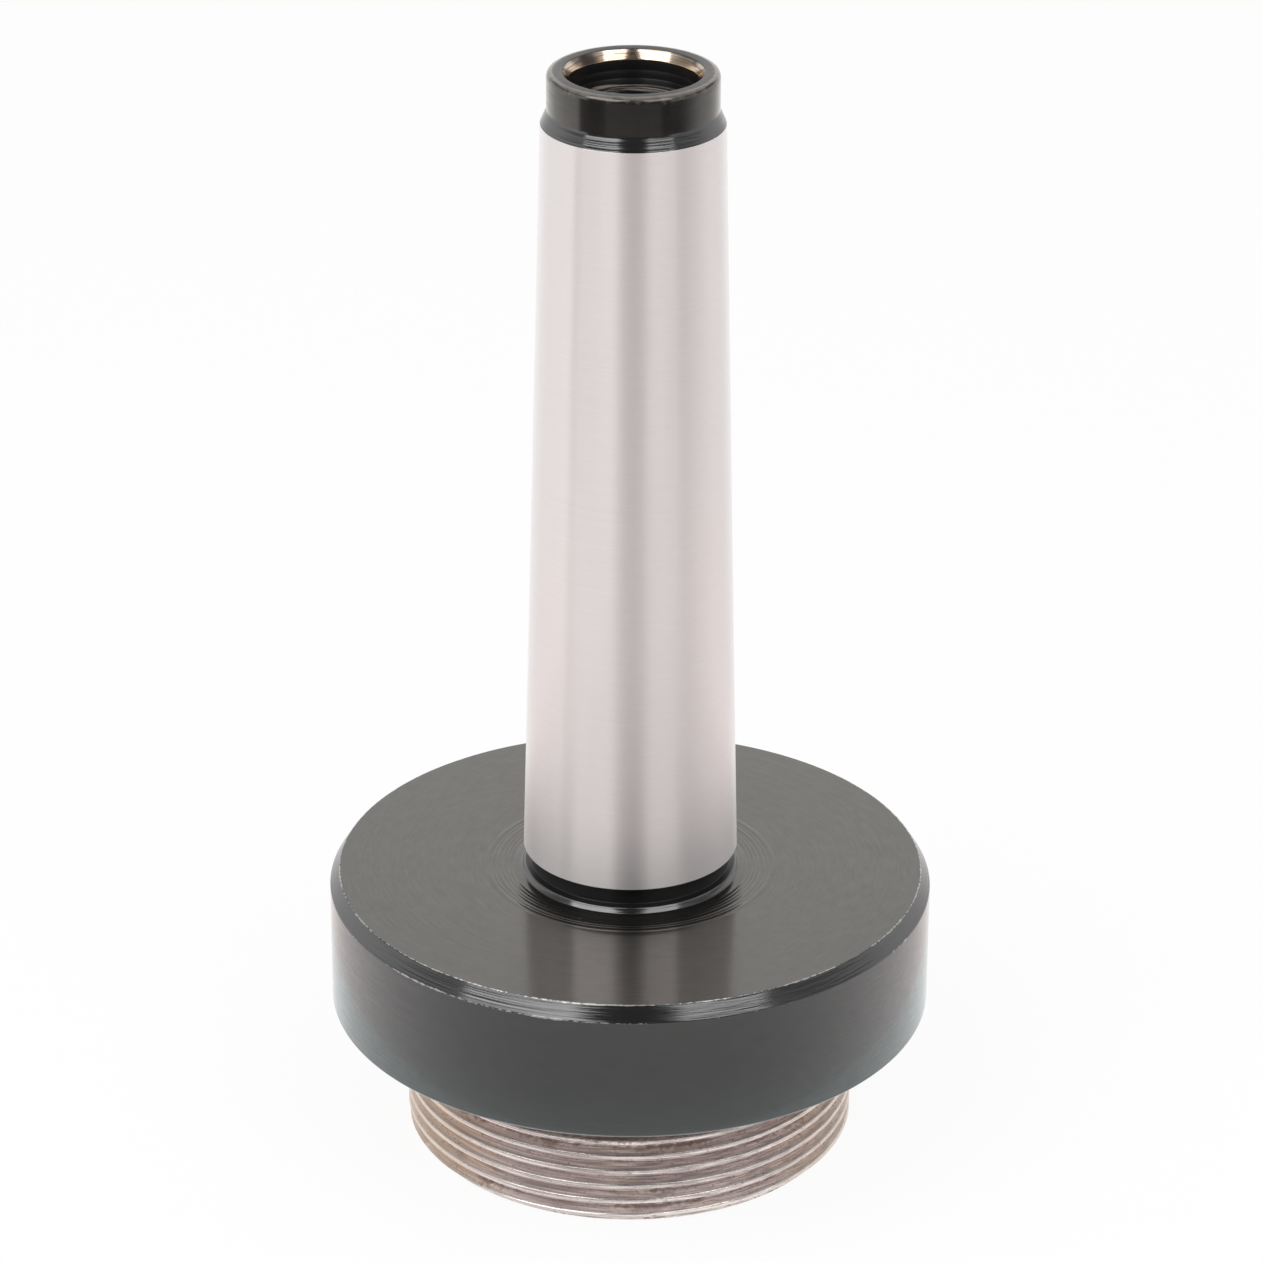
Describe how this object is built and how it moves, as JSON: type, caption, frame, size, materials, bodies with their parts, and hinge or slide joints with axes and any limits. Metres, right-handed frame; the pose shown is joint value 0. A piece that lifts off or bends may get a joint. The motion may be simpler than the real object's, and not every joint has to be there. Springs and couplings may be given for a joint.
{
  "type": "morse taper arbor",
  "caption": "Arbor with a ground self-holding taper shank, a tapped drawbar hole, a wide flange and a threaded boss that carries a boring head.",
  "frame": {"origin": "centre of the threaded boss's end face, which the arbor stands on", "axes": "+Z along the axis of the shank, from the boss to the drawbar end; the part is round, so X and Y are free"},
  "size_m": [0.0508, 0.0508, 0.0942],
  "materials": {
    "arbor_steel": "ground taper and bright thread, black oxide on flange, collar and bore"
  },
  "bodies": {
    "root": {"arbor": "arbor_steel"}
  },
  "joints": []
}
